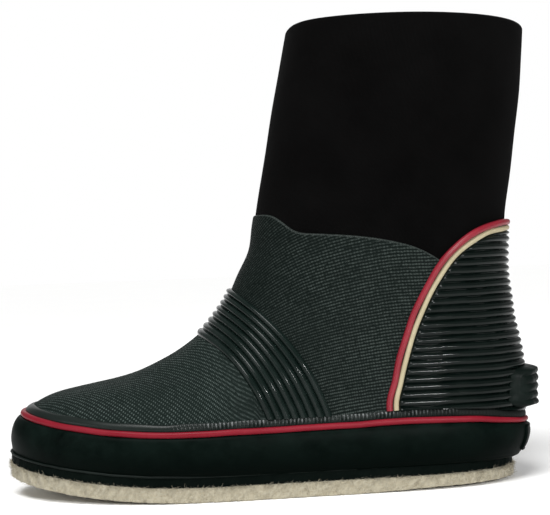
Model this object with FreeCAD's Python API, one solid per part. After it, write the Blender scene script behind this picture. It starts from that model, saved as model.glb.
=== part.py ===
import FreeCAD, Part
import math
import os

# A neoprene water-sports boot for the left foot, with a vulcanised rubber rand and a felt sole.
#
# Millimetres, +Z up, toe towards -X and the outer side of the foot towards -Y. The origin is on
# the ground, under the middle of the boot's box. Heights (h) are counted from the sole's
# underside, which is flat under the heel and arch and springs up in one arc under the toes.

# ---- driving dimensions ------------------------------------------------------------------------
SHAFT_TOP = 260.7          # height of the leg opening at RIM_PIVOT
RIM_TILT = 0.022           # how steeply the opening falls towards the heel
RIM_PIVOT = 92.0
SHAFT_JOIN = 115.0         # where the leg tube is stitched to the foot sock, under the panels
SPRING_START = -35.0       # x where the toe spring begins
SPRING_RADIUS = 655.0      # radius of the toe spring in side view

FELT = 9.0                 # felt thickness
OUTSOLE = 6.0              # rubber sheet under the rand
SPONGE = 4.0               # sponge filler inside the rand
BOARD = 2.0                # insole board
SOCK_SOLE = 3.5            # neoprene under the foot
FOOTBED = 5.0              # loose insole
SOLE_TOE = -153.8          # x of the felt's toe
SOLE_HEEL = 137.4          # x of the felt's heel
SOLE_HALF = 51.0           # half width scale of the felt

NEOPRENE = 4.2             # foam sheet of the foot and leg
LINING = 0.8               # plush laminated inside the foam
PANEL = 1.2                # rubberised mesh panels on the outside
STIFFENER = 1.1            # toe puff and heel stiffener, let into the foam
GLUE = 0.05                # gap left at every bonded face

RAND_TOP = 35.9            # top of the black rand
STRIPE_TOP = 39.1          # top of the red bead that finishes the rand
STRIP_TOP = 43.2           # top of the knurled strip above the bead
RIB_PITCH = 4.23           # spacing of the heel ribs
HEEL_RIBS = 24
HEEL_RIBS_FROM = 38.0      # height of the groove under the lowest heel rib, behind the rand
INSTEP_RIBS = 8
RIB_HEIGHT = 2.0
RIB_PROFILE = (0.0, 0.8, 1.0, 0.8)
RIB_STEPS = len(RIB_PROFILE)
TAB_RIBS = 5
TAB_LOW = 41.0
TAB_TALL = 22.9
TAB_HALF = 0.43            # half the tab's width, as an angle
TAB_REACH = 10.0           # how far the heel tab stands out from the foam

ROUND = 72                 # points round the boot
OUTSOLE_TOP = FELT + OUTSOLE
SPONGE_TOP = OUTSOLE_TOP + SPONGE
BOARD_TOP = SPONGE_TOP + BOARD
SOCK_SOLE_TOP = BOARD_TOP + SOCK_SOLE


def curve(points):
    """Natural cubic curve through (position, value) pairs, held flat outside them."""
    at = [p[0] for p in points]
    value = [p[1] for p in points]
    last = len(at) - 1
    gap = [at[i + 1] - at[i] for i in range(last)]
    rise = [(value[i + 1] - value[i]) / gap[i] for i in range(last)]
    bend = [0.0] * (last + 1)
    carry = [0.0] * (last + 1)
    for i in range(1, last):
        pivot = 2 * (gap[i - 1] + gap[i]) - gap[i - 1] * carry[i - 1]
        carry[i] = gap[i] / pivot
        bend[i] = (6 * (rise[i] - rise[i - 1]) - gap[i - 1] * bend[i - 1]) / pivot
    for i in range(last - 1, 0, -1):
        bend[i] -= carry[i] * bend[i + 1]

    def read(x):
        x = min(max(x, at[0]), at[last])
        i = max(k for k in range(last) if k == 0 or x >= at[k])
        left, right = x - at[i], at[i + 1] - x
        return ((bend[i] * right ** 3 + bend[i + 1] * left ** 3) / (6 * gap[i])
                + (value[i] / gap[i] - bend[i] * gap[i] / 6) * right
                + (value[i + 1] / gap[i] - bend[i + 1] * gap[i] / 6) * left)

    return read


# ---- the boot's form: outer face of the foam, sliced at a height h -------------------------------
FRONT = curve([(14, -147.8), (20, -148.7), (28, -147.9), (36, -144.5), (42, -139.3), (46, -133.8),
               (50, -126.3), (55, -111.8), (60, -94.5), (67.5, -74.3), (78, -54.6), (85, -44.6),
               (92, -36.6), (102, -28.1), (112, -21.8), (120, -17.8), (127, -13.9), (135, -10),
               (150, -7.2), (165, -4.3), (190, 0.9), (225, 7.6), (260, 14.5)])
BACK = curve([(14, 136), (20, 140.2), (28, 143), (36, 143.5), (50, 143.7), (64, 143.7),
              (80, 141.5), (92, 139.2), (104, 138), (118, 136.5), (132, 136.8), (150, 138.3),
              (170, 141.3), (200, 145.8), (225, 149.6), (245, 151.2), (260, 152.1)])
HALF_WIDTH = curve([(14, 45.5), (20, 48.8), (28, 50.3), (36, 50.3), (44, 49.3), (60, 46),
                    (80, 42.5), (100, 41), (125, 42.5), (160, 47), (210, 53), (259, 56)])
FOOTNESS = curve([(30, 1), (45, 1), (75, 0.75), (100, 0.3), (125, 0), (260, 0)])
LEG_SIDE = curve([(-1, 1.4), (-0.9, 1.28), (-0.78, 1.17), (-0.5, 1.05), (0, 1), (1, 1)])
LEGNESS = curve([(115, 0), (170, 0.1), (215, 0.55), (259, 1)])
OUTER_SIDE = curve([(-1, 1.25), (-0.83, 1.2), (-0.4, 1.09), (0.15, 0.9), (0.65, 0.97),
                    (0.9, 1.1), (1, 1.15)])
INNER_SIDE = curve([(-1, 1.25), (-0.83, 1.25), (-0.45, 1.09), (0.15, 0.78), (0.65, 0.95),
                    (0.9, 1.1), (1, 1.15)])
TOE_SWING = 5.0            # how far the toe turns towards the big toe


def spring(x):
    """How far the toe spring lifts the boot at x."""
    reach = max(0.0, SPRING_START - x)
    return SPRING_RADIUS - math.sqrt(SPRING_RADIUS ** 2 - reach ** 2)


def outline(angle, front, back, half, footness, legness=0.0):
    """Plan of a slice: angle 0 is the back of the heel, pi the toe, and 0 to pi the outer side."""
    along = math.cos(angle)
    side = OUTER_SIDE if angle % (2 * math.pi) <= math.pi else INNER_SIDE
    bulge = 1 + (side(along) - 1) * footness + (LEG_SIDE(along) - 1) * legness
    x = (back + front) / 2 + (back - front) / 2 * along
    y = -half * math.sin(angle) * bulge + TOE_SWING * footness * max(0.0, -along) ** 2
    return x, y


def form(h, angle):
    """Point on the outer face of the foam."""
    x, y = outline(angle, FRONT(h), BACK(h), HALF_WIDTH(h), FOOTNESS(h), LEGNESS(h))
    return FreeCAD.Vector(x, y, h + spring(x))


def outward(h, angle):
    """Unit normal of the form."""
    step = 0.01
    round_it = form(h, angle + step) - form(h, angle - step)
    up_it = form(h + 0.5, angle) - form(h - 0.5, angle)
    return up_it.cross(round_it).normalize()


def layer(h, angle, depth):
    """Point at a depth outside the foam's outer face, or inside it where depth is negative."""
    return form(h, angle) + outward(h, angle) * depth


# ---- building solids ---------------------------------------------------------------------------
def spread(start, end, count):
    """Evenly spaced values, both ends included."""
    return [start + (end - start) * i / (count - 1) for i in range(count)]


def knots(count, wraps, degree):
    """Knots and their multiplicities for a uniform spline of that many poles."""
    if wraps:
        return list(range(count + 1)), [1] * (count + 1)
    spans = count - degree
    return list(range(spans + 1)), [degree + 1] + [1] * (spans - 1) + [degree + 1]


def sheet_face(rows, wraps):
    """Face whose poles are rows of points; the rows close on themselves when it wraps."""
    along, across = [3 if count > 3 else 1 for count in (len(rows[0]), len(rows))]
    along_knots, along_mults = knots(len(rows[0]), wraps, along)
    across_knots, across_mults = knots(len(rows), False, across)
    poles = [[row[i] for row in rows] for i in range(len(rows[0]))]
    sheet = Part.BSplineSurface()
    sheet.buildFromPolesMultsKnots(poles, along_mults, across_mults, along_knots, across_knots,
                                   wraps, False, along, across)
    return sheet.toShape()


def solid_of(faces):
    """Closed solid from faces that share their edges."""
    shell = Part.Shell(faces)
    shell.sewShape()
    solid = Part.Solid(shell)
    if solid.Volume < 0:
        solid.reverse()
    return solid


def block(outer, inner, wraps=False, step=None):
    """Solid between two grids of points of the same size, creased after every so many rows."""
    faces = []
    step = step or len(outer) - 1
    for start in range(0, len(outer) - 1, step):
        top, bottom = outer[start:start + step + 1], inner[start:start + step + 1]
        faces += [sheet_face(top, wraps), sheet_face(bottom, wraps)]
        if not wraps:
            for end in (0, -1):
                faces.append(sheet_face([[row[end] for row in top], [row[end] for row in bottom]], False))
    for end in (0, -1):
        faces.append(sheet_face([outer[end], inner[end]], wraps))
    return solid_of(faces)


def level(h, angle):
    """Plain height, for layers that follow the form's own slices."""
    return h


def rand_level(h, angle):
    """Height on the rand: its upper lines dip at the back of the heel and a little at the toe."""
    share = max(0.0, min(1.0, (h - OUTSOLE_TOP) / (STRIPE_TOP - OUTSOLE_TOP)))
    return h + RAND_SAG(form(STRIPE_TOP, angle).x) * share


def leg_level(h, angle):
    """Height on the leg, whose opening falls a little towards the heel."""
    share = (h - SHAFT_JOIN) / (SHAFT_TOP - SHAFT_JOIN)
    return h + RIM_TILT * (RIM_PIVOT - form(h, angle).x) * share


def grid(heights, angles, depth, place=level):
    """Grid of layer points; depth is a number or a function of height."""
    reach = depth if callable(depth) else (lambda h: depth)
    return [[layer(place(h, a), a, reach(h)) for a in angles] for h in heights]


AROUND = [2 * math.pi * i / ROUND for i in range(ROUND)]


def ring(low, high, outer, inner, rows, place=level):
    """Band right round the boot between two heights and two depths."""
    heights = spread(low, high, rows)
    return block(grid(heights, AROUND, outer, place), grid(heights, AROUND, inner, place), wraps=True)


def slab(low, high):
    """Everything between two heights, following the toe spring."""
    far = 200.0

    def edge(h):
        bend = FreeCAD.Vector(SPRING_START, 0, h)
        middle = FreeCAD.Vector(-far / 2, 0, h + spring(-far / 2))
        toe = FreeCAD.Vector(-far, 0, h + spring(-far))
        heel = FreeCAD.Vector(far, 0, h)
        return toe, [Part.Arc(toe, middle, bend).toShape(), Part.LineSegment(bend, heel).toShape()], heel

    toe_low, lower, heel_low = edge(low)
    toe_high, upper, heel_high = edge(high)
    ends = [Part.makeLine(toe_low, toe_high), Part.makeLine(heel_low, heel_high)]
    face = Part.Face(Part.Wire(Part.__sortEdges__(lower + upper + ends)))
    face.translate(FreeCAD.Vector(0, -far, 0))
    return face.extrude(FreeCAD.Vector(0, 2 * far, 0))


def closed_curve(points):
    """Smooth closed wire with those poles."""
    at, mults = knots(len(points), True, 3)
    loop = Part.BSplineCurve()
    loop.buildFromPolesMultsKnots(points, mults, at, True, 3)
    return Part.Wire([loop.toShape()])


def sole_layer(plan, low, high):
    """Sheet of the sole: a plan outline cut out between two heights."""
    face = Part.Face(closed_curve([FreeCAD.Vector(x, y, -20) for x, y in plan]))
    return face.extrude(FreeCAD.Vector(0, 0, 120)).common(slab(low, high))


def side_region(points):
    """Prism through the boot over a region drawn in side view as (x, height) corners."""
    corners = [FreeCAD.Vector(x, -100, z) for x, z in points]
    face = Part.Face(Part.makePolygon(corners + corners[:1]))
    return face.extrude(FreeCAD.Vector(0, 200, 0))


def under_strip():
    """Everything lower than the knurled strip's top edge."""
    edge = [(x, STRIP_TOP + 0.35 + RAND_SAG(x) + spring(x)) for x in spread(-165, 165, 111)]
    return side_region(edge + [(165, -20), (-165, -20)])


def one_solid(shape):
    """The only solid of a boolean's result."""
    return max(shape.Solids, key=lambda s: s.Volume)


# ---- lines drawn on the boot ---------------------------------------------------------------------
# heel piping: share of its half length, from the back of the heel, to the angle and height there
PIPING_ANGLE = curve([(0, 0), (0.157, 0.523), (0.211, 0.676), (0.296, 0.879), (0.404, 1.068),
                      (0.488, 1.159), (0.567, 1.23), (0.643, 1.271), (0.716, 1.285), (0.789, 1.277),
                      (0.86, 1.234), (0.931, 1.165), (1, 1.12), (1.05, 1.09)])
PIPING_HEIGHT = curve([(-0.157, 146.1), (0, 147.7), (0.157, 146.1), (0.211, 144.5), (0.296, 139.3),
                       (0.404, 128.9), (0.488, 118.1), (0.567, 107.3), (0.643, 96.4), (0.716, 85.5),
                       (0.789, 74.5), (0.86, 63.6), (0.931, 52.8), (1, 42), (1.05, 34.4)])

# how far the rand's upper lines stand above their level, along x
RAND_SAG = curve([(-150, -0.8), (-60, -0.7), (-20, 0.2), (40, 0.9), (80, 1.6), (96, 1.2), (113, 0.1),
                  (124, -1.3), (132, -2.6), (140, -3.9), (147, -4.6)])

# top edge of the ankle panel in side view: height over x
PANEL_EDGE = curve([(-8, 156.1), (-2, 156.1), (2, 155.5), (6, 153.6), (10, 150.4), (14, 147.1),
                    (18, 145.1), (24, 144.1), (42, 142.5), (56, 140.7), (70, 137.9), (84, 133.2),
                    (94, 127.4), (100, 123)])

# instep ribs in side view, first rib and last rib: crest height, belly of the line, foot of the line
CREST = (87.4, 113.9)
BELLY = ((-16.0, 78.0), (19.0, 88.0))
TOE_END = (-3.0, 41.0)
ANKLE_END = (33.0, 41.0)


def mix(a, b, share):
    return a + (b - a) * share


def on_side(x, h):
    """Angle of the form's outer-side point at x and height h."""
    middle, reach = (BACK(h) + FRONT(h)) / 2, (BACK(h) - FRONT(h)) / 2
    return math.acos(max(-1.0, min(1.0, (x - middle) / reach)))


def rib_line(share, along):
    """Height and angle on an instep rib: share 0 to 1 counts the ribs, along runs -1 to 1 over it."""
    crest_h = mix(CREST[0], CREST[1], share)
    crest = (FRONT(crest_h), crest_h)
    belly = [mix(BELLY[0][k], BELLY[1][k], share) for k in (0, 1)]
    end = [mix(TOE_END[k], ANKLE_END[k], share) for k in (0, 1)]
    t = along * along
    x, h = [crest[k] * (1 - t) ** 2 + 2 * belly[k] * t * (1 - t) + end[k] * t * t for k in (0, 1)]
    angle = on_side(x, h)
    return h, angle if along <= 0 else 2 * math.pi - angle


def rib_wave(row):
    """Height over a rib's width, in flats: 0 in a groove and 1 on the crest."""
    return RIB_PROFILE[row % RIB_STEPS]


# ---- regions cut out by those lines --------------------------------------------------------------
def piping_side():
    """Heel piping in side view, from the foxing up to the back of the heel."""
    points = [form(PIPING_HEIGHT(s), PIPING_ANGLE(s)) for s in spread(1, 0, 25)]
    return [(p.x, p.z) for p in points]


def rib_seam():
    """Line under the middle of the instep ribs, where the vamp and ankle panels meet."""
    points = [form(*rib_line(0.5, s)) for s in spread(-1, 0, 17)]
    return [(p.x, p.z) for p in points]


def toe_side():
    """Everything on the toe's side of the seam under the instep ribs."""
    seam = rib_seam()
    seam = [(seam[0][0] + 4, 10)] + seam + [(seam[-1][0] - 60, seam[-1][1] + 40)]
    return side_region([(-200, 10)] + seam + [(-200, seam[-1][1])])


def heel_side():
    """Everything on the heel's side of the heel piping."""
    piping = piping_side()
    return side_region([(piping[0][0] + 2, 10)] + piping + [(250, piping[-1][1]), (250, 10)])


# ---- sole unit -----------------------------------------------------------------------------------
def sole_plan(grow):
    """Plan of the felt and outsole, a little wider than the felt by grow."""
    return [outline(a, SOLE_TOE - grow, SOLE_HEEL + grow, SOLE_HALF + grow, 1) for a in AROUND]


def inside_plan(h, depth):
    """Plan of the form at a height, at a depth."""
    return [(p.x, p.y) for p in (layer(h, a, depth) for a in AROUND)]


def make_sole():
    rand_swell = curve([(OUTSOLE_TOP, 4.2), (20, 4.8), (26, 5.0), (32, 4.4), (RAND_TOP, 3.0)])
    bead = [2.0, 3.2, 3.75, 3.75, 3.2, 2.0]
    bead_heights = spread(RAND_TOP + GLUE, STRIPE_TOP, len(bead))
    skin = PANEL + 2 * GLUE
    foam_in = -(NEOPRENE + LINING + 0.4)
    parts = {
        "felt_sole": sole_layer(sole_plan(0.0), 0, FELT),
        "outsole_sheet": sole_layer(sole_plan(-0.3), FELT + GLUE, OUTSOLE_TOP),
        "midsole_sponge": sole_layer(inside_plan(OUTSOLE_TOP, -0.2), OUTSOLE_TOP + GLUE, SPONGE_TOP),
        "insole_board": sole_layer(inside_plan(SPONGE_TOP, -0.2), SPONGE_TOP + GLUE, BOARD_TOP),
        "sock_sole": sole_layer(inside_plan(BOARD_TOP, foam_in), BOARD_TOP + GLUE, SOCK_SOLE_TOP),
        "footbed": sole_layer(inside_plan(SOCK_SOLE_TOP, foam_in - 0.3), SOCK_SOLE_TOP + GLUE,
                              SOCK_SOLE_TOP + FOOTBED),
        "foxing_band": ring(OUTSOLE_TOP + GLUE, RAND_TOP, rand_swell, skin, 10, rand_level),
        "foxing_stripe": block([[layer(rand_level(h, a), a, out) for a in AROUND]
                                for h, out in zip(bead_heights, bead)],
                               grid(bead_heights, AROUND, skin, rand_level), wraps=True, step=1),
        "foxing_top_strip": ring(STRIPE_TOP + GLUE, STRIP_TOP, skin + 1.0, skin, 5, rand_level),
    }
    heights = spread(19.5, 34.5, 6)
    angles = spread(-0.24, 0.24, 10)
    parts["heel_label"] = block(grid(heights, angles, lambda h: rand_swell(h) + 1.2, rand_level),
                                grid(heights, angles, lambda h: rand_swell(h) + GLUE, rand_level))
    return parts


# ---- sock ----------------------------------------------------------------------------------------
def stiffeners():
    """Toe puff and heel stiffener, each as (node, lowest, highest, first angle, last angle)."""
    return [("toe_puff", 26.0, 46.0, math.pi - 0.8, math.pi + 0.8),
            ("heel_stiffener", 26.0, 88.0, -0.85, 0.85)]


def make_sock():
    lining = (-(NEOPRENE + GLUE), -(NEOPRENE + LINING))
    foot = ring(BOARD_TOP + GLUE, SHAFT_JOIN - GLUE, 0, -NEOPRENE, 40)
    parts = {}
    for node, low, high, start, end in stiffeners():
        heights, angles = spread(low, high, 12), spread(start, end, 26)
        parts[node] = block(grid(heights, angles, -GLUE), grid(heights, angles, -STIFFENER))
        heights = spread(low - 1, high + 1, 12)
        angles = spread(start - 0.02, end + 0.02, 26)
        pocket = block(grid(heights, angles, 1), grid(heights, angles, -STIFFENER - GLUE))
        foot = one_solid(foot.cut(pocket))
    tape = (lining[1] - GLUE, lining[1] - 0.45)
    parts["vamp_foam"] = one_solid(foot.common(toe_side()))
    parts["heel_foam"] = one_solid(foot.cut(toe_side()))
    parts["foot_lining"] = ring(BOARD_TOP + GLUE, SHAFT_JOIN - GLUE, *lining, 40)
    parts["shaft_sleeve"] = ring(SHAFT_JOIN, SHAFT_TOP, 0, -NEOPRENE, 24, leg_level)
    parts["shaft_lining"] = ring(SHAFT_JOIN, SHAFT_TOP, *lining, 24, leg_level)
    parts["ankle_seam_tape"] = ring(SHAFT_JOIN - 8, SHAFT_JOIN + 8, *tape, 6)
    heights, angles = spread(SHAFT_JOIN + 8.3, SHAFT_TOP - 1.5, 14), spread(-0.2, 0.2, 5)
    outer, inner = [grid(heights, angles, depth, leg_level) for depth in tape]
    parts["back_seam_tape"] = block(outer, inner)
    return parts


# ---- outside panels ------------------------------------------------------------------------------
def make_panels():
    cover = ring(OUTSOLE_TOP + 5, 160, GLUE + PANEL, GLUE, 46)
    above = side_region([(x, PANEL_EDGE(x)) for x in [-60] + spread(-8, 100, 55)]
                        + [(130, PANEL_EDGE(100)), (130, 250), (-60, 250)])
    ribs = HEEL_RIBS + 2
    heights = spread(HEEL_RIBS_FROM, HEEL_RIBS_FROM + ribs * RIB_PITCH, RIB_STEPS * ribs + 1)
    angles = spread(-1.42, 1.42, 30)
    ribbed = [[layer(h, a, GLUE + 1.1 + RIB_HEIGHT * rib_wave(row)) for a in angles]
              for row, h in enumerate(heights)]
    counter = block(ribbed, grid(heights, angles, GLUE), step=1)
    tab_room = block(*tab_grids(0.3, 0.0), step=1)
    return {
        "vamp_panel": one_solid(cover.common(toe_side())),
        "quarter_panel": one_solid(cover.cut(toe_side()).cut(heel_side()).cut(above)),
        "heel_counter": one_solid(counter.common(heel_side()).cut(tab_room).cut(under_strip())),
    }


def tab_grids(grow, base):
    """Outer and inner points of the heel tab; grow enlarges it all round."""
    heights = spread(TAB_LOW - grow, TAB_LOW + TAB_TALL + grow, RIB_STEPS * TAB_RIBS + 1)
    reach = TAB_HALF + grow / 45
    angles = spread(-reach, reach, 20)
    round_off = curve([(0, 1), (0.2, 1), (0.28, 0.9), (0.36, 0.62), (reach, 0.35)])
    outer = []
    for row, h in enumerate(heights):
        rise = TAB_REACH - 3.2 - 1.2 * (1 - rib_wave(row))
        outer.append([layer(h, a, 3.2 + rise * round_off(abs(a)) + grow) for a in angles])
    return outer, grid(heights, angles, base)


def make_instep_ribs():
    shares, alongs = spread(0, 1, RIB_STEPS * INSTEP_RIBS + 1), spread(-1, 1, 37)
    base = PANEL + 2 * GLUE
    outer, inner = [], []
    for row, share in enumerate(shares):
        line = [rib_line(share, along) for along in alongs]
        thick = base + 0.4 + RIB_HEIGHT * rib_wave(row)
        outer.append([layer(h, a, thick) for h, a in line])
        inner.append([layer(h, a, base) for h, a in line])
    return block(outer, inner, step=1).cut(under_strip())


def piping_frame(s):
    """Point, outward normal and heelward direction on the heel piping; s runs -1 to 1 over it."""
    def at(share):
        side = math.copysign(1, share)
        return PIPING_HEIGHT(abs(share)), side * PIPING_ANGLE(abs(share))

    normal = outward(*at(s))
    travel = form(*at(s + 0.02)) - form(*at(s - 0.02))
    return form(*at(s)), normal, normal.cross(travel).normalize()


def make_bead(offset, width, height):
    """Half-round bead along the heel piping line, offset towards the heel."""
    base = PANEL + 2 * GLUE
    outer, inner = [], []
    for across, rise in ((-0.5, 0.1), (-0.38, 0.7), (-0.14, 1.0), (0.14, 1.0), (0.38, 0.7), (0.5, 0.1)):
        outer_row, inner_row = [], []
        for s in spread(-1.02, 1.02, 49):
            point, normal, heelward = piping_frame(s)
            place = point + heelward * (offset + across * width)
            outer_row.append(place + normal * (base + height * rise))
            inner_row.append(place + normal * base)
        outer.append(outer_row)
        inner.append(inner_row)
    return block(outer, inner, step=1)


def main():
    parts = make_sole()
    parts.update(make_sock())
    parts.update(make_panels())
    parts["instep_ribs"] = one_solid(make_instep_ribs())
    parts["heel_piping_red"] = one_solid(make_bead(0.4, 3.5, 1.9).cut(under_strip()))
    parts["heel_piping_cream"] = one_solid(make_bead(3.85, 3.0, 1.7).cut(under_strip()))
    parts["heel_tab"] = block(*tab_grids(0, PANEL + GLUE), step=1)
    os.makedirs("parts", exist_ok=True)
    for node, shape in parts.items():
        solid = one_solid(shape)
        box = solid.BoundBox
        print(f"{node:18s} valid {solid.isValid()} volume {solid.Volume / 1000:8.2f} cm3",
              f"x {box.XMin:7.1f} {box.XMax:7.1f} y {box.YMin:6.1f} {box.YMax:6.1f}",
              f"z {box.ZMin:6.1f} {box.ZMax:6.1f}")
        solid.exportStep(f"parts/{node}.step")


main()
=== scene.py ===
import math

import bmesh
import bpy
import numpy as np
from mathutils import Matrix, Vector
from mathutils.kdtree import KDTree


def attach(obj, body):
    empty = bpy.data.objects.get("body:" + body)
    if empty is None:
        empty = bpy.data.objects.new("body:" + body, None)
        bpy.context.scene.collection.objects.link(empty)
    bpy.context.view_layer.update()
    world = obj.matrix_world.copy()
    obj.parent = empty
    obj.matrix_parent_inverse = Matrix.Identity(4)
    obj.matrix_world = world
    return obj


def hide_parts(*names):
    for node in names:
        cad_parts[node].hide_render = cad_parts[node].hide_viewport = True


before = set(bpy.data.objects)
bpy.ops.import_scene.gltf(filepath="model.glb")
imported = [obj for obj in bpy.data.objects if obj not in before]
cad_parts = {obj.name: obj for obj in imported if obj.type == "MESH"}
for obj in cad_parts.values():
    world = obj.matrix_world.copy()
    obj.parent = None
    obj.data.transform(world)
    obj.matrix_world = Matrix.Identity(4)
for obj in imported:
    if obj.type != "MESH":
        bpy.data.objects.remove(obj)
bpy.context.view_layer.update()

# The boot's outer form is given by formula in form(): a height and an angle round the slice make a
# point. Every piece of the upper is laid on that form at some depth, with its own detail.

# ---- sizes: millimetres, the same frame as the solids
MM = 0.001
TURN = 2 * math.pi

SHAFT_TOP = 260.7
SHAFT_JOIN = 115.0         # where the leg is sewn to the foot
TURN_IN = 7.0              # how far the sleeve's top edge is turned down inside
LINING_DROP = 4.0          # how far the lining ends under the leg's top
RIM_TILT = 0.022           # fall of the opening for each millimetre towards the heel
RIM_PIVOT = 92.0
SPRING_START = -35.0       # the toe spring is an arc that starts here
SPRING_RADIUS = 655.0
TOE_SWING = 5.0            # how far the toe swings towards the inner side
FELT = 8.0                 # a little under the solid's, where the rubber laps over it
HEEL_WEAR = 1.5            # how much the felt is worn away under the heel
OUTSOLE_TOP = 15.0
BOARD_TOP = 21.0
SOCK_SOLE_TOP = 24.5
FOOTBED = 5.0
SOLE_TOE = -153.8
SOLE_HEEL = 137.4
SOLE_HALF = 51.0
NEOPRENE = 4.2
LINING = 0.8
WALL = NEOPRENE + LINING
PANEL = 1.2                # thickness of the mesh panels
GLUE = 0.05                # gap between bonded faces
COVER = PANEL + 2 * GLUE   # how far the panels stand out from the foam
PANEL_FOOT = 30.0          # lower edge of the panels, hidden by the rand
PANEL_SPLIT = 41.5         # under this height the vamp panel runs on towards the ankle
RAND_TOP = 35.9
STRIPE_TOP = 39.1
STRIP_TOP = 43.2
RIB_PITCH = 4.23           # of the heel counter's ribs
HEEL_RIBS_FROM = 38.0
INSTEP_RIBS = 8
INSTEP_RIB_HEIGHT = 1.8
TAB_RIBS = 5
TAB_LOW = 41.0
TAB_TALL = 22.9
TAB_HALF = 0.43            # half of the tab's width, as an angle
TAB_FLANK = 3.4            # how far the tab's edge stands out
TAB_REACH = 10.0           # how far its back stands out
LABEL_MIDDLE = 27.0
LABEL_HALF = 7.5
LABEL_SWEEP = 0.24         # half of the plate's width, as an angle
WEAVE = 1.8                # spacing of the threads in the rubberised panels
TEETH = 2.1                # spacing of the knurls in the strip over the red bead
KNURLS_FROM = -66.0        # where they start to be cut, and where they start to fade
KNURLS_TO = 84.0
TAPE_HALF = 8.0
TAPE_SWEEP = 0.19          # half of the back tape's width, as an angle
STITCH = 2.6               # length of a zigzag stitch up the back seam
FIBRES = 10000

DETAIL = 1.0
AROUND = np.linspace(0, TURN, int(720 * DETAIL) + 1)
AROUND_FINE = np.linspace(0, TURN, int(900 * DETAIL) + 1)


# ---- the boot's form
def curve(points):
    """Natural cubic curve through (position, value) pairs, held flat outside them."""
    at, value = np.array(points, float).T
    gap = np.diff(at)
    rise = np.diff(value) / gap
    rows = np.eye(len(at))
    right = np.zeros(len(at))
    for i in range(1, len(at) - 1):
        rows[i, i - 1:i + 2] = gap[i - 1], 2 * (gap[i - 1] + gap[i]), gap[i]
        right[i] = 6 * (rise[i] - rise[i - 1])
    bend = np.linalg.solve(rows, right)

    def read(x):
        x = np.clip(x, at[0], at[-1])
        i = np.clip(np.searchsorted(at, x) - 1, 0, len(gap) - 1)
        left, ahead = x - at[i], at[i + 1] - x
        return ((bend[i] * ahead ** 3 + bend[i + 1] * left ** 3) / (6 * gap[i])
                + (value[i] / gap[i] - bend[i] * gap[i] / 6) * ahead
                + (value[i + 1] / gap[i] - bend[i + 1] * gap[i] / 6) * left)

    return read


FRONT = curve([(14, -147.8), (20, -148.7), (28, -147.9), (36, -144.5), (42, -139.3), (46, -133.8),
               (50, -126.3), (55, -111.8), (60, -94.5), (67.5, -74.3), (78, -54.6), (85, -44.6),
               (92, -36.6), (102, -28.1), (112, -21.8), (120, -17.8), (127, -13.9), (135, -10),
               (150, -7.2), (165, -4.3), (190, 0.9), (225, 7.6), (260, 14.5)])
BACK = curve([(14, 136), (20, 140.2), (28, 143), (36, 143.5), (50, 143.7), (64, 143.7),
              (80, 141.5), (92, 139.2), (104, 138), (118, 136.5), (132, 136.8), (150, 138.3),
              (170, 141.3), (200, 145.8), (225, 149.6), (245, 151.2), (260, 152.1)])
HALF_WIDTH = curve([(14, 45.5), (20, 48.8), (28, 50.3), (36, 50.3), (44, 49.3), (60, 46),
                    (80, 42.5), (100, 41), (125, 42.5), (160, 47), (210, 53), (259, 56)])
FOOTNESS = curve([(30, 1), (45, 1), (75, 0.75), (100, 0.3), (125, 0), (260, 0)])
LEG_SIDE = curve([(-1, 1.4), (-0.9, 1.28), (-0.78, 1.17), (-0.5, 1.05), (0, 1), (1, 1)])
LEGNESS = curve([(115, 0), (170, 0.1), (215, 0.55), (259, 1)])
OUTER_SIDE = curve([(-1, 1.25), (-0.83, 1.2), (-0.4, 1.09), (0.15, 0.9), (0.65, 0.97),
                    (0.9, 1.1), (1, 1.15)])
INNER_SIDE = curve([(-1, 1.25), (-0.83, 1.25), (-0.45, 1.09), (0.15, 0.78), (0.65, 0.95),
                    (0.9, 1.1), (1, 1.15)])
RAND_SAG = curve([(-150, -0.8), (-60, -0.7), (-20, 0.2), (40, 0.9), (80, 1.6), (96, 1.2), (113, 0.1),
                  (124, -1.3), (132, -2.6), (140, -3.9), (147, -4.6)])
PIPING_ANGLE = curve([(0, 0), (0.157, 0.523), (0.211, 0.676), (0.296, 0.879), (0.404, 1.068),
                      (0.488, 1.159), (0.567, 1.23), (0.643, 1.271), (0.716, 1.285), (0.789, 1.277),
                      (0.86, 1.234), (0.931, 1.165), (1, 1.12), (1.05, 1.09)])
PIPING_HEIGHT = curve([(-0.157, 146.1), (0, 147.7), (0.157, 146.1), (0.211, 144.5), (0.296, 139.3),
                       (0.404, 128.9), (0.488, 118.1), (0.567, 107.3), (0.643, 96.4), (0.716, 85.5),
                       (0.789, 74.5), (0.86, 63.6), (0.931, 52.8), (1, 42), (1.05, 34.4)])
PANEL_EDGE = curve([(-8, 156.1), (-2, 156.1), (2, 155.5), (6, 153.6), (10, 150.4), (14, 147.1),
                    (18, 145.1), (24, 144.1), (42, 142.5), (56, 140.7), (70, 137.9), (84, 133.2),
                    (94, 127.4), (100, 123)])
RAND_DEPTH = curve([(OUTSOLE_TOP, 4.2), (20, 4.8), (26, 5.0), (32, 4.4), (RAND_TOP, 3.0)])
# The instep ribs: heights where they cross the shin, and (x, height) of their bends and lower ends,
# on the toe's side and on the ankle's side.
CREST = (87.4, 113.9)
BELLY = ((-16.0, 78.0), (19.0, 88.0))
TOE_END = (-3.0, 41.0)
ANKLE_END = (33.0, 41.0)


def spring(x):
    """How far the toe spring lifts the boot at x."""
    reach = np.maximum(0.0, SPRING_START - x)
    return SPRING_RADIUS - np.sqrt(SPRING_RADIUS ** 2 - reach ** 2)


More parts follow.
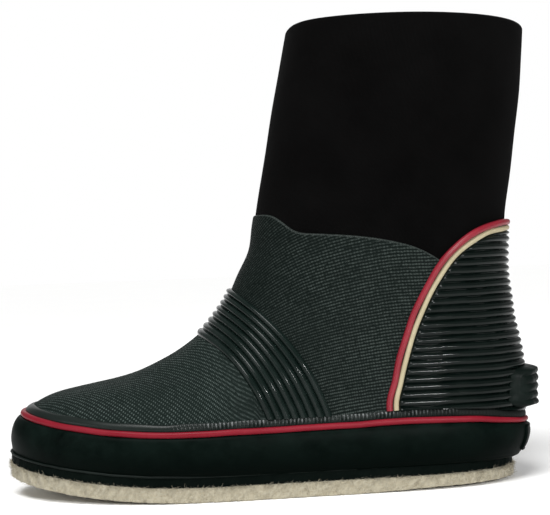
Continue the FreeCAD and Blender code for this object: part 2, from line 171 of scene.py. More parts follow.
def outline(angle, front, back, half, footness, legness=0.0):
    """Plan of a slice: angle 0 is the back of the heel, pi the toe, and 0 to pi the outer side."""
    along = np.cos(angle)
    side = np.where(np.mod(angle, TURN) <= math.pi, OUTER_SIDE(along), INNER_SIDE(along))
    bulge = 1 + (side - 1) * footness + (LEG_SIDE(along) - 1) * legness
    x = (back + front) / 2 + (back - front) / 2 * along
    y = -half * np.sin(angle) * bulge + TOE_SWING * footness * np.maximum(0.0, -along) ** 2
    return x, y


def form(h, angle):
    """Points on the outer face of the foam, at heights over the sprung ground."""
    h, angle = np.broadcast_arrays(np.asarray(h, float), np.asarray(angle, float))
    x, y = outline(angle, FRONT(h), BACK(h), HALF_WIDTH(h), FOOTNESS(h), LEGNESS(h))
    return np.stack([x, y, h + spring(x)], axis=-1)


def folded(angle):
    """Angle from the heel, the same on both sides."""
    return np.minimum(angle, TURN - angle)


def unit(vectors):
    return vectors / np.linalg.norm(vectors, axis=-1, keepdims=True)


def outward(h, angle):
    """Unit normals of the form."""
    around = form(h, np.asarray(angle) + 0.01) - form(h, np.asarray(angle) - 0.01)
    up = form(np.asarray(h) + 0.5, angle) - form(np.asarray(h) - 0.5, angle)
    return unit(np.cross(up, around))


def layer(h, angle, depth):
    """Points at a depth outside the foam's outer face, or inside it where depth is negative."""
    return form(h, angle) + outward(h, angle) * np.asarray(depth, float)[..., None]


def on_rand(h, angle, depth):
    return layer(rand_level(h, angle), angle, depth)


def on_leg(h, angle, depth):
    return layer(leg_level(h, angle), angle, depth)


def rand_level(h, angle):
    """Height on the rand, whose upper lines dip at the back of the heel."""
    share = np.clip((h - OUTSOLE_TOP) / (STRIPE_TOP - OUTSOLE_TOP), 0, 1)
    return h + RAND_SAG(form(STRIPE_TOP, angle)[..., 0]) * share


def leg_level(h, angle):
    """Height on the leg, whose opening falls a little towards the heel."""
    share = (h - SHAFT_JOIN) / (SHAFT_TOP - SHAFT_JOIN)
    return h + RIM_TILT * (RIM_PIVOT - form(h, angle)[..., 0]) * share


def smooth(x):
    """0 below 0, 1 above 1, and an even rise between."""
    x = np.clip(x, 0, 1)
    return x * x * (3 - 2 * x)


def ripple(points, size, seed):
    """Smooth random waves, about that size and between -1 and 1, at points in space."""
    rng = np.random.default_rng(seed)
    total = np.zeros(points.shape[:-1])
    for _ in range(7):
        way = rng.normal(size=3)
        way *= rng.uniform(0.7, 1.6) / np.linalg.norm(way) / size
        total += np.sin(points @ way * TURN + rng.uniform(0, TURN))
    return total / 4


def steps(start, end, spacing):
    """Even steps from start to end, about that far apart."""
    return np.linspace(start, end, max(3, int(abs(end - start) / spacing * DETAIL) + 1))


def arc_length(points):
    """Distance along each row of points from its first one."""
    gaps = np.linalg.norm(np.diff(points, axis=-2), axis=-1)
    return np.concatenate([np.zeros(gaps.shape[:-1] + (1,)), np.cumsum(gaps, axis=-1)], axis=-1)


def show(thing):
    bpy.context.scene.collection.objects.link(thing)


# ---- mesh building
def put(name, points, faces, materials, node=None, uv=None, kinds=None, sharp=50):
    """Makes one piece from points in millimetres and faces, drops unused points, and mounts it."""
    faces = np.asarray(faces)
    used, compact = np.unique(faces, return_inverse=True)
    compact = compact.reshape(faces.shape)
    mesh = bpy.data.meshes.new(name)
    mesh.from_pydata((points[used] * MM).tolist(), [], compact.tolist())
    if uv is not None:
        layer_uv = mesh.uv_layers.new(name="weave")
        layer_uv.data.foreach_set("uv", uv.reshape(-1, 2).astype(np.float32).ravel())
    for material in materials:
        mesh.materials.append(material)
    if kinds is not None:
        mesh.polygons.foreach_set("material_index", np.asarray(kinds, np.int32))
    mesh.polygons.foreach_set("use_smooth", np.ones(len(mesh.polygons), bool))
    mesh.set_sharp_from_angle(angle=math.radians(sharp))
    mesh.update()
    piece = bpy.data.objects.new(name, mesh)
    show(piece)
    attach(piece, "root")
    if node:
        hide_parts(node)
    return piece


def tubes(name, lines, side, lift, radius, corners, material):
    """Thin open tubes along many short lines of points. side and lift are unit and at right angles."""
    turn = TURN * np.arange(corners)[:, None] / corners
    ring = side[..., None, :] * np.cos(turn) + lift[..., None, :] * np.sin(turn)
    points = lines[..., None, :] + ring * np.asarray(radius)[..., None, None]
    here = np.arange(points.size // 3).reshape(points.shape[:-1])
    there = np.roll(here, -1, axis=-1)
    faces = np.stack([here[:, :-1], here[:, 1:], there[:, 1:], there[:, :-1]], axis=-1)
    put(name, points.reshape(-1, 3), faces.reshape(-1, 4), [material])


def skin(name, grid, material, node=None, sharp=50):
    """One surface through a grid of points. Its rows go right round, and points that meet are joined."""
    rows, count = grid.shape[0], grid.shape[1] - 1
    r, c = np.meshgrid(np.arange(rows - 1), np.arange(count), indexing="ij")
    corners = [(r, c), (r + 1, c), (r + 1, c + 1), (r, c + 1)]
    faces = np.stack([i * count + j % count for i, j in corners], axis=-1).reshape(-1, 4)
    piece = put(name, grid[:, :-1].reshape(-1, 3), faces, [material], node, sharp=sharp)
    work = bmesh.new()
    work.from_mesh(piece.data)
    bmesh.ops.remove_doubles(work, verts=work.verts, dist=1e-6)
    work.to_mesh(piece.data)
    work.free()


def shell(name, outer, inner, materials, node=None, wrap=False, uv=None, mask=None, edge_rows=0,
          sharp=50):
    """Closed sheet between two grids of points. The last edge_rows rows take the second material."""
    rows, columns = outer.shape[0] - 1, outer.shape[1] - 1
    count = columns if wrap else columns + 1
    mask = np.ones((rows, columns), bool) if mask is None else mask
    r, c = np.nonzero(mask)

    def ids(i, j, side):
        return i * count + j % count + side * (rows + 1) * count

    def missing(i, j):
        if wrap:
            j = j % columns
        inside = (i >= 0) & (i < rows) & (j >= 0) & (j < columns)
        return ~(inside & mask[np.clip(i, 0, rows - 1), np.clip(j, 0, columns - 1)])

    O, I = 0, 1
    quads = [[(r, c, O), (r + 1, c, O), (r + 1, c + 1, O), (r, c + 1, O)],
             [(r, c, I), (r, c + 1, I), (r + 1, c + 1, I), (r + 1, c, I)]]
    for gone, wall in ((missing(r - 1, c), ((0, 0, O), (0, 1, O), (0, 1, I), (0, 0, I))),
                       (missing(r + 1, c), ((1, 0, O), (1, 0, I), (1, 1, I), (1, 1, O))),
                       (missing(r, c - 1), ((0, 0, O), (0, 0, I), (1, 0, I), (1, 0, O))),
                       (missing(r, c + 1), ((0, 1, O), (1, 1, O), (1, 1, I), (0, 1, I)))):
        if gone.any():
            quads.append([(r[gone] + i, c[gone] + j, side) for i, j, side in wall])
    faces = np.concatenate([np.stack([ids(*corner) for corner in quad], axis=-1) for quad in quads])
    kinds = np.concatenate([(quad[0][0] >= rows - edge_rows).astype(int) for quad in quads])
    kinds = kinds if len(materials) > 1 else None
    wear = None
    if uv is not None:
        wear = np.concatenate([np.stack([uv[i, j] for i, j, _ in quad], axis=1) for quad in quads])
    flat = [g[:, :count].reshape(-1, 3) for g in (outer, inner)]
    put(name, np.concatenate(flat), faces, materials, node, wear, kinds, sharp)


# ---- materials
class Paint:
    """A procedural material under construction: small helpers round its node tree."""

    def __init__(self, name, **sockets):
        self.material = bpy.data.materials.new(name)
        self.material.use_nodes = True
        self.tree = self.material.node_tree
        self.shader = self.tree.nodes["Principled BSDF"]
        for label, value in sockets.items():
            self.shader.inputs[label.replace("_", " ")].default_value = value

    def node(self, kind, **settings):
        """A new node. Settings with a capital are its inputs, and the others its properties."""
        made = self.tree.nodes.new("ShaderNode" + kind)
        for label, value in settings.items():
            if label[0].isupper():
                made.inputs[label].default_value = value
            else:
                setattr(made, label, value)
        return made

    def feed(self, target, value):
        """Gives an input a number, a colour or another node's output."""
        if isinstance(value, tuple):
            target.default_value = (*value, 1.0)
        elif isinstance(value, (int, float)):
            target.default_value = value
        else:
            self.tree.links.new(value, target)

    def math(self, operation, *values):
        made = self.node("Math", operation=operation)
        for target, value in zip(made.inputs, values):
            self.feed(target, value)
        return made.outputs[0]

    def coords(self, scale=(1, 1, 1)):
        """Place on the object in millimetres, times scale."""
        mapping = self.node("Mapping", Scale=[axis / MM for axis in scale])
        self.feed(mapping.inputs["Vector"], self.node("TexCoord").outputs["Object"])
        return mapping.outputs[0]

    def axes(self, vector=None):
        """The three numbers of a vector, or of the place on the object in millimetres."""
        parts = self.node("SeparateXYZ")
        self.feed(parts.inputs[0], vector or self.coords())
        return parts.outputs

    def uv(self):
        """The two flat coordinates in millimetres, as separate numbers."""
        return self.axes(self.node("UVMap", uv_map="weave").outputs[0])[:2]

    def waves(self, position, spacing, shape="SINE"):
        """Size of a wave, from 0 to 1 and back over each spacing."""
        phase = self.math("MULTIPLY", position, math.pi / spacing)
        return self.math("ABSOLUTE", self.math(shape, phase))

    def noise(self, size, detail=3.0, roughness=0.55, vector=None):
        """Cloudy noise, about that many millimetres across."""
        made = self.node("TexNoise", Scale=1.0, Detail=detail, Roughness=roughness)
        self.feed(made.inputs["Vector"], vector or self.coords((1 / size,) * 3))
        return made.outputs["Fac"]

    def spread(self, value, low, high, out_low=0.0, out_high=1.0):
        """A number stretched from low..high to out_low..out_high."""
        made = self.node("MapRange")
        for target, number in zip(made.inputs, (value, low, high, out_low, out_high)):
            self.feed(target, number)
        return made.outputs[0]

    def blend(self, share, first, second):
        """Colour between two colours, each a tuple or a socket."""
        made = self.node("Mix", data_type="RGBA")
        for index, value in ((0, share), (6, first), (7, second)):
            self.feed(made.inputs[index], value)
        return made.outputs[2]

    def colour(self, socket):
        self.feed(self.shader.inputs["Base Color"], socket)

    def rough(self, socket):
        self.feed(self.shader.inputs["Roughness"], socket)

    def bump(self, height, distance, strength=1.0):
        """Adds relief of that many millimetres."""
        made = self.node("Bump", Distance=distance * MM, Strength=strength)
        self.feed(made.inputs["Height"], height)
        before = self.shader.inputs["Normal"].links
        if before:
            self.feed(made.inputs["Normal"], before[0].from_socket)
        self.feed(self.shader.inputs["Normal"], made.outputs[0])


def moulded_rubber(name, dark, light, roughness, specular, shaded_below=None):
    """Satin moulded rubber: cloudy bloom, fine orange peel and faint scuffs."""
    paint = Paint(name, Specular_IOR_Level=specular)
    bloom = paint.noise(22, 4)
    grain = paint.noise(0.35, 2)
    scuff = paint.noise(5, 6, 0.7)
    share = paint.math("ADD", paint.spread(bloom, 0.3, 0.7, 0, 0.7),
                       paint.spread(scuff, 0.45, 0.75, 0, 0.3))
    # Painted shade: towards the bottom the colour is pulled to the darkest one, between the two heights
    # given.
    if shaded_below:
        share = paint.math("MULTIPLY", share, paint.spread(paint.axes()[2], *shaded_below))
    paint.colour(paint.blend(share, dark, light))
    paint.rough(paint.math("ADD", paint.spread(bloom, 0.3, 0.7, roughness - 0.06, roughness + 0.08),
                           paint.spread(scuff, 0.4, 0.7, 0.0, 0.08)))
    paint.bump(grain, 0.03, 0.6)
    paint.bump(scuff, 0.12, 0.5)
    return paint.material


def woven_rubber(name, columns, valley, ridge, toe_shade_from):
    """Rubber-coated cloth: a net of raised threads along the flat coordinates, with painted highlights in
    specks on the thread tops and painted shade towards the toe.
    """
    paint = Paint(name, Specular_IOR_Level=0.06)
    u, v = paint.uv()
    wobble = paint.math("MULTIPLY_ADD", paint.noise(5, 2), 0.7, -0.35)
    su, sv = [paint.waves(paint.math("ADD", axis, wobble), WEAVE) for axis in (u, v)]
    height = paint.math("MULTIPLY", sv, paint.math("MULTIPLY_ADD", su, columns, 1 - columns))
    cloud = paint.noise(24, 4)
    speck = paint.noise(1.9, 2, 0.7)
    # Painted highlight: the raised thread tops are painted towards the ridge colour, patchy in clouds and
    # specks.
    highlight_speckle = paint.math("MULTIPLY", paint.spread(cloud, 0.3, 0.7, 0.5, 1.3),
                      paint.spread(speck, 0.33, 0.67, 0.1, 1.8))
    tops = paint.spread(height, 0.5, 1.0)
    ridge_highlight = paint.math("MULTIPLY_ADD", tops, highlight_speckle, 0.07)
    # Painted shade: towards the toe the colour is dimmed to 0.42 of itself, lifting over 60 mm from the
    # given x.
    painted_lighting = paint.spread(paint.axes()[0], toe_shade_from, toe_shade_from + 60, 0.42, 1.0)
    paint.colour(paint.blend(paint.math("MULTIPLY", ridge_highlight, painted_lighting), valley, ridge))
    paint.rough(paint.spread(tops, 0, 1, 0.8, 0.4))
    paint.bump(height, 0.3, 0.9)
    paint.bump(paint.noise(0.25, 2), 0.02, 0.5)
    return paint.material


def panel_edge():
    """Cut edge of the coated fabric: a paler grey with frayed ends."""
    paint = Paint("panel_edge", Specular_IOR_Level=0.08, Roughness=0.6)
    fray = paint.noise(0.8, 3, 0.7)
    paint.colour(paint.blend(paint.spread(fray, 0.35, 0.65),
                             (0.004, 0.007, 0.006), (0.036, 0.043, 0.040)))
    paint.bump(fray, 0.1)
    return paint.material


def knurled_rubber():
    """The strip over the red bead: dark rubber, rougher and painted in shade towards the heel, with
    painted highlights on its teeth tips.
    """
    paint = Paint("strip_rubber", Specular_IOR_Level=0.16)
    run, share = paint.uv()
    wave = paint.waves(run, TEETH, "COSINE")
    # Painted highlight: the teeth tips are painted pale in patches, fading where the knurls fade.
    tip = paint.math("MULTIPLY", paint.spread(wave, 0.8, 0.4), paint.spread(share, 0.25, 0.8))
    painted_lighting = paint.math("MULTIPLY", tip, paint.spread(paint.noise(3, 4, 0.8), 0.42, 0.62))
    # Painted shade: the body colour darkens towards the heel, where the rubber also grows rougher.
    heelward = paint.spread(paint.axes()[0], 45, 105)
    body = paint.blend(paint.noise(20, 4), (0.002, 0.0045, 0.0036), (0.0125, 0.0175, 0.0155))
    body = paint.blend(heelward, body, (0.0012, 0.0024, 0.0018))
    paint.colour(paint.blend(painted_lighting, body, (0.17, 0.18, 0.18)))
    paint.rough(paint.spread(heelward, 0, 1, 0.32, 0.65))
    paint.bump(paint.noise(0.35, 2), 0.03, 0.6)
    return paint.material


def neoprene_knit(name, dark, light, pitch=0.7):
    """Nylon jersey laminated on foam: fine wales along the leg and soft cloudy creasing."""
    paint = Paint(name, Specular_IOR_Level=0.02, Roughness=0.9, Sheen_Weight=0.006, Sheen_Roughness=0.5)
    u, v = paint.uv()
    wales = paint.waves(u, pitch)
    slant = paint.math("ADD", paint.math("MULTIPLY", v, math.pi / pitch),
                       paint.math("MULTIPLY", wales, 1.3))
    loops = paint.math("ABSOLUTE", paint.math("SINE", slant))
    height = paint.math("MULTIPLY", wales, paint.math("MULTIPLY_ADD", loops, 0.6, 0.4))
    cloud = paint.noise(30, 5)
    lint = paint.spread(paint.noise(0.6, 1), 0.62, 0.8)
    share = paint.math("ADD", paint.math("MULTIPLY", height, paint.spread(cloud, 0.3, 0.7, 0.4, 0.9)),
                       paint.math("MULTIPLY", lint, 0.4))
    paint.colour(paint.blend(share, dark, light))
    paint.bump(height, 0.12, 0.7)
    paint.bump(cloud, 1.2, 0.35)
    return paint.material


def felt():
    """Pressed cream felt: matted fibres, darker pits and stray specks."""
    paint = Paint("felt", Specular_IOR_Level=0.05, Roughness=0.95, Sheen_Weight=0.2, Sheen_Roughness=0.6)
    matted = paint.noise(3.0, 8, 0.75)
    strands, crossing = [paint.noise(1.0, 4, 0.8, paint.coords(scale))
                         for scale in ((0.25, 1.6, 1.6), (1.4, 0.4, 0.9))]
    pits = paint.spread(paint.noise(1.3, 3, 0.8), 0.24, 0.42)
    body = paint.blend(paint.spread(matted, 0.3, 0.7), (0.265, 0.232, 0.158), (0.385, 0.352, 0.265))
    body = paint.blend(paint.spread(strands, 0.45, 0.7, 0, 0.6), body, (0.43, 0.405, 0.325))
    paint.colour(paint.blend(pits, (0.16, 0.135, 0.087), body))
    paint.bump(matted, 0.7, 0.9)
    paint.bump(strands, 0.25, 0.8)
    paint.bump(crossing, 0.25, 0.8)
    return paint.material


def plain_cloth(name, dark, light, pitch=0.9, roughness=0.85):
    """Small plain weave in space, for pieces with no flat coordinates."""
    paint = Paint(name, Specular_IOR_Level=0.1, Roughness=roughness)
    waves = [paint.math("SINE", paint.math("MULTIPLY", axis, TURN / pitch)) for axis in paint.axes()]
    height = paint.math("ADD", paint.math("MULTIPLY", waves[0], waves[1]), waves[2])
    cloud = paint.noise(9, 5)
    share = paint.math("ADD", paint.spread(height, -2, 2, 0, 0.4),
                       paint.spread(cloud, 0.3, 0.7, 0, 0.6))
    paint.colour(paint.blend(share, dark, light))
    paint.bump(height, 0.1)
    return paint.material


def sponge():
    """Cut sponge rubber: round open cells."""
    paint = Paint("sponge", Specular_IOR_Level=0.2, Roughness=0.85)
    cells = paint.node("TexVoronoi", Scale=1.0)
    paint.feed(cells.inputs["Vector"], paint.coords((1 / 0.9,) * 3))
    height = paint.spread(cells.outputs["Distance"], 0.1, 0.6)
    paint.colour(paint.blend(height, (0.03, 0.03, 0.03), (0.14, 0.14, 0.14)))
    paint.bump(height, 0.3)
    return paint.material


# Each rubber: name, darkest and lightest colour, roughness, specular level; the pair of heights, where
# given, paints shade towards the bottom: below the first the colour is held at the darkest, and the
# painted shade lifts by the second.
RAND = moulded_rubber("rand_rubber", (0.0004, 0.0017, 0.0012), (0.0055, 0.011, 0.009), 0.40, 0.018,
                      shaded_below=(16, 40))
SOLE = moulded_rubber("sole_rubber", (0.0006, 0.002, 0.0015), (0.003, 0.0052, 0.0043), 0.6, 0.02)
RIB = moulded_rubber("rib_rubber", (0.003, 0.0068, 0.0056), (0.008, 0.0135, 0.0118), 0.15, 0.17)
# Painted shade: the heel counter gets the instep ribs' rubber painted darker, for the shade round the
# back of the heel.
SHADED_HEEL_RIB = moulded_rubber("heel_rib_rubber", (0.0010, 0.0028, 0.0022), (0.0034, 0.0062, 0.0052),
                          0.13, 0.16)
TAB = moulded_rubber("tab_rubber", (0.001, 0.003, 0.0023), (0.007, 0.011, 0.0095), 0.4, 0.05)
STRIP = knurled_rubber()
# The lip is a real bead; its colour, paler than the sole rubber's, is a painted highlight along the
# outsole's top edge.
LIP = moulded_rubber("lip_rubber", (0.001, 0.003, 0.0023), (0.012, 0.0165, 0.0145), 0.4, 0.07)
BEAD_RED = moulded_rubber("red_bead_rubber", (0.15, 0.005, 0.012), (0.20, 0.010, 0.020), 0.36, 0.12)
RED = moulded_rubber("red_rubber", (0.15, 0.006, 0.013), (0.22, 0.013, 0.024), 0.32, 0.3)
CREAM = moulded_rubber("cream_rubber", (0.30, 0.255, 0.155), (0.39, 0.345, 0.23), 0.42, 0.2)
# Each coated cloth: how strongly the columns show, valley and ridge colours, and the x from which its
# painted shade towards the toe lifts.
VAMP = woven_rubber("woven_rubber_vamp", 1.0, (0.0020, 0.0055, 0.0044), (0.054, 0.071, 0.065), -170)
QUARTER = woven_rubber("woven_rubber_ankle", 0.35, (0.0010, 0.0032, 0.0025), (0.029, 0.0375, 0.034), -8)
EDGE = panel_edge()
KNIT = neoprene_knit("neoprene_knit", (0.0003, 0.0003, 0.0003), (0.0042, 0.004, 0.004))
PLUSH = neoprene_knit("lining_knit", (0.014, 0.014, 0.015), (0.05, 0.05, 0.053), 0.9)
FELT_CLOTH = felt()
BED = plain_cloth("footbed_cloth", (0.025, 0.025, 0.027), (0.085, 0.085, 0.092))
TAPE = plain_cloth("seam_tape", (0.008, 0.008, 0.008), (0.03, 0.03, 0.03), 0.7)
BOARD = plain_cloth("fibre_board", (0.16, 0.11, 0.06), (0.34, 0.26, 0.16), 1.3)
STIFF = plain_cloth("stiffener_cloth", (0.10, 0.10, 0.10), (0.26, 0.26, 0.26), 1.1)
SPONGE = sponge()
THREAD = plain_cloth("thread", (0.006, 0.006, 0.006), (0.02, 0.02, 0.02), 0.3, 0.6)


# ---- leg
def leg_uv(h, angle):
    """Distance round the leg and height, for the knit."""
    h, angle = np.broadcast_arrays(h, angle)
    return np.stack([arc_length(form(h, angle)), h], axis=-1)


def leg_wave(h, angle):
    """How far the soft leg stands off its smooth form: slack creases, strongest over the ankle."""
    place = form(h, angle)
    slack = 0.35 + 0.65 * smooth((190 - h) / 60)
    crease = ripple(place * [0.6, 0.6, 1.6], 42, 3) * 0.55 * slack
    return crease + ripple(place, 90, 4) * 0.5 * smooth((h - 150) / 40)


def make_leg():
    """Neoprene sleeve with its top edge turned in, and the lining under it."""
    angle = AROUND[None, :]
    lip = WALL / 2
    crown = SHAFT_TOP - lip
    body = steps(SHAFT_JOIN, crown, 1.2)[:, None]
    turn = np.linspace(0, math.pi, 15)[1:, None]
    inside = steps(crown, SHAFT_TOP - TURN_IN, 1.2)[1:, None]
    hs = np.concatenate([body, crown + lip * np.sin(turn), inside])
    out = np.concatenate([body * 0, -lip + lip * np.cos(turn), inside * 0 - WALL])
    soft = leg_wave(hs, angle)
    seam_depth, seam_half = 0.5, 0.011
    seam = seam_depth * np.exp(-(folded(angle) / seam_half) ** 2) * smooth((SHAFT_TOP - 4 - hs) / 6)
    depth = out + soft - seam * (out > -1)
    core_h = np.concatenate([body, crown + 0 * turn, inside])
    shell("leg_sleeve", on_leg(hs, angle, depth), on_leg(core_h, angle, soft * 0.9 - NEOPRENE), [KNIT],
          "shaft_sleeve", wrap=True, uv=leg_uv(hs, angle))
    hs = steps(SHAFT_JOIN, SHAFT_TOP - LINING_DROP, 1.6)[:, None]
    soft = leg_wave(hs, angle) * 0.9
    hem = 0.25 * np.exp(-((hs - (SHAFT_TOP - 8)) / 1.5) ** 2)
    shell("leg_lining", on_leg(hs, angle, soft - NEOPRENE - GLUE), on_leg(hs, angle, soft - WALL - hem),
          [PLUSH], "shaft_lining", wrap=True, uv=leg_uv(hs, angle))


def make_foot_lining():
    """Soft plush lining of the foot, under the neoprene."""
    hs, angle = steps(BOARD_TOP + 0.2, SHAFT_JOIN - 0.1, 1.0)[:, None], AROUND[None, :]
    soft = ripple(form(hs, angle), 30, 8) * 0.25
    shell("foot_lining_knit", layer(hs, angle, -NEOPRENE - GLUE), layer(hs, angle, soft - WALL), [PLUSH],
          "foot_lining", wrap=True, uv=leg_uv(hs, angle))


# ---- panels of the foot
def mix(a, b, share):
    """A value part of the way from a to b."""
    return a + (b - a) * share


def on_side(x, h):
    """Angle of the form's outer-side point at x and height h."""
    middle, reach = (BACK(h) + FRONT(h)) / 2, (BACK(h) - FRONT(h)) / 2
    return np.arccos(np.clip((x - middle) / reach, -1, 1))


def rib_line(share, along):
    """Height and angle on an instep rib: share 0 to 1 counts the ribs, along runs -1 to 1 over it."""
    crest_h = mix(CREST[0], CREST[1], share)
    t = along * along
    x, h = [crest * (1 - t) ** 2 + 2 * mix(BELLY[0][k], BELLY[1][k], share) * t * (1 - t)
            + mix(TOE_END[k], ANKLE_END[k], share) * t * t
            for k, crest in enumerate((FRONT(crest_h), crest_h))]
    angle = on_side(x, h)
    return h, np.where(along <= 0, angle, TURN - angle)


def heel_piping_angle(h):
    """Angle of the heel piping at a height."""
    s = np.linspace(0, 1.05, 400)
    return np.interp(-h, -PIPING_HEIGHT(s), PIPING_ANGLE(s))


def panel_top(angle):
    """Height of the ankle panel's top edge."""
    h = np.full(np.shape(angle), 150.0)
    for _ in range(25):
        h = 0.5 * h + 0.5 * PANEL_EDGE(form(h, angle)[..., 0])
    return h


def between(table, i, j):
    """Value of a table at fractional places i and j."""
    i = np.clip(i, 0, table.shape[0] - 1.001)
    j = np.clip(j, 0, table.shape[1] - 1.001)
    i0, j0 = i.astype(int), j.astype(int)
    di, dj = i - i0, j - j0
    return ((table[i0, j0] * (1 - dj) + table[i0, j0 + 1] * dj) * (1 - di)
            + (table[i0 + 1, j0] * (1 - dj) + table[i0 + 1, j0 + 1] * dj) * di)


def vamp_uv(h, angle):
    """Flat coordinates at 45 degrees to the foot: length along it and girth down from its ridge."""
    low = 26                   # girth runs down to here, behind the rand
    xs = np.linspace(-151, 70, 240)
    heights = np.linspace(24, 200, 900)
    ridge = np.interp(xs, FRONT(heights), heights)
    share = np.linspace(0, 1, 90) ** 2
    hs = mix(ridge[:, None], low, share)
    girth = arc_length(form(hs, on_side(xs[:, None], hs)))
    length = arc_length(np.stack([xs, xs * 0, ridge + spring(xs)], axis=-1))
    x = form(h, angle)[..., 0]
    top = np.interp(x, xs, ridge)
    across = np.sqrt(np.clip((top - h) / (top - low), 0, 1)) * (len(share) - 1)
    g = between(girth, (x - xs[0]) / (xs[1] - xs[0]), across)
    g = g * np.where(np.mod(angle, TURN) <= math.pi, 1, -1)
    run = np.interp(x, xs, length)
    return np.stack([run + g, run - g], axis=-1) / math.sqrt(2)


ROW_DROP = curve([(0, 0), (5, 0.2), (19, 1.9), (35, 5.2), (52, 10.1), (75, 20.7), (95, 35), (118, 55)])
COLUMN_LEAN = curve([(-60, 0.1), (0, 0.12), (35, 0.2), (52, 0.35), (75, 0.6), (95, 0.9), (118, 1.0)])


def quarter_uv(h, angle):
    """Flat coordinates whose rows lie level at the heel and droop towards the bias at the shin."""
    half = np.linspace(math.pi, 0, 200)
    table_h = np.linspace(30, 160, 66)
    table = arc_length(form(table_h[:, None], half[None, :]))
    level_at = (math.pi - on_side(75, table_h)) / math.pi * (len(half) - 1)
    start = np.array([np.interp(at, np.arange(len(half)), row) for at, row in zip(level_at, table)])
    left = between(start[:, None] - table, (h - table_h[0]) / (table_h[1] - table_h[0]),
                   (math.pi - folded(angle)) / math.pi * (len(half) - 1))
    droop = ROW_DROP(left) * (0.6 + 0.4 * smooth((h - 50) / 60))
    return np.stack([left - COLUMN_LEAN(left) * (h - 125), h + droop], axis=-1)


def whole(mask):
    """Faces whose four corners all lie in a mask of points."""
    return mask[:-1, :-1] & mask[1:, :-1] & mask[1:, 1:] & mask[:-1, 1:]


def make_panels():
    """The two mesh panels and the two pieces of neoprene under them, split along the middle rib."""
    angle = AROUND_FINE[None, :]
    top = panel_top(angle)
    share = steps(0, 1, 1 / 360)[:, None]
    turn = np.linspace(0, math.pi / 2, 6)[1:, None]
    body = mix(PANEL_FOOT, top - PANEL, share)
    hs = np.concatenate([body, top - PANEL + PANEL * np.sin(turn)])
    out = np.concatenate([body * 0 + COVER, GLUE + (COVER - GLUE) * np.cos(turn) + 0 * top])
    angles = np.broadcast_to(angle, hs.shape)
    pucker = 0.35 * ripple(form(hs, angles), 34, 11) * smooth((hs - 50) / 20)
    outer = layer(hs, angles, out + pucker * (out > 1))
    inner = layer(np.minimum(hs, top - 0.4), angles, GLUE + pucker * 0.5)
    seam_h, seam_a = rib_line(0.5, np.linspace(-1, 0, 200))

    def toeward(h, around):
        """Whether a place is on the toe's side of the seam."""
        return (around > np.interp(h, seam_h, seam_a)) & (h < np.max(seam_h)) & (around > seam_a[0])

    around = folded(angles)
    front = whole(toeward(hs, around) | (hs < PANEL_SPLIT) & (around > seam_a[0]))
    rear = ~front & ~whole(around < heel_piping_angle(hs))
    shell("vamp_weave", outer, inner, [VAMP], "vamp_panel", wrap=True,
          uv=vamp_uv(hs, angles), mask=front)
    shell("ankle_weave", outer, inner, [QUARTER, EDGE], "quarter_panel", wrap=True,
          uv=quarter_uv(hs, angles), mask=rear, edge_rows=4)
    foam_h = steps(BOARD_TOP + 0.1, SHAFT_JOIN - 0.1, 1.2)[:, None]
    foam_h, foam_a = np.broadcast_arrays(foam_h, AROUND[None, :])
    toe = whole(toeward(foam_h, folded(foam_a)))
    for name, node, mask in (("vamp_neoprene", "vamp_foam", toe), ("heel_neoprene", "heel_foam", ~toe)):
        shell(name, form(foam_h, foam_a), layer(foam_h, foam_a, -NEOPRENE), [KNIT],
              node, wrap=True, uv=leg_uv(foam_h, foam_a), mask=mask)


def strip_top(angle):
    """Height of the knurled strip's top edge."""
    return STRIP_TOP + RAND_SAG(form(STRIPE_TOP, angle)[..., 0])


def rib_arch(position):
    """0 in a groove and 1 on a crest, for a position counted in ribs: round lobes with sharp grooves."""
    return np.abs(np.sin(math.pi * position)) ** 0.75


def make_instep_ribs():
    """One moulded patch of ribs over the instep, its ends cut off at the knurled strip."""
    share = steps(0, 1, 1 / (14 * INSTEP_RIBS))[:, None]
    along = steps(-1, 1, 1 / 150)[None, :]
    fine = np.linspace(-1, 0, 200)
    end = [np.interp(STRIP_TOP + 0.3, rib_line(at, fine)[0], fine) for at in share[:, 0]]
    h, angle = rib_line(share, along * np.abs(np.array(end))[:, None])
    uneven = 1 + 0.1 * ripple(form(h, angle), 25, 21)
    height = INSTEP_RIB_HEIGHT * rib_arch(share * INSTEP_RIBS) * uneven
    rim = 0.2 + 0.1 * smooth(np.minimum(share, 1 - share) * 40)
    shell("instep_rib_patch", layer(h, angle, COVER + rim + height), layer(h, angle, COVER - 0.4),
          [RIB], "instep_ribs", sharp=70)


def piping_line(share):
    """Height and angle on the heel piping; share runs -1 to 1 over it from rand to rand."""
    return PIPING_HEIGHT(np.abs(share)), np.mod(np.sign(share) * PIPING_ANGLE(np.abs(share)), TURN)


def from_piping(points):
    """Distance of each point from the heel piping line."""
    line = form(*piping_line(np.linspace(-1.05, 1.05, 1600)))
    tree = KDTree(len(line))
    for index, place in enumerate(line):
        tree.insert(place, index)
    tree.balance()
    return np.array([tree.find(place)[2] for place in points.reshape(-1, 3)]).reshape(points.shape[:-1])


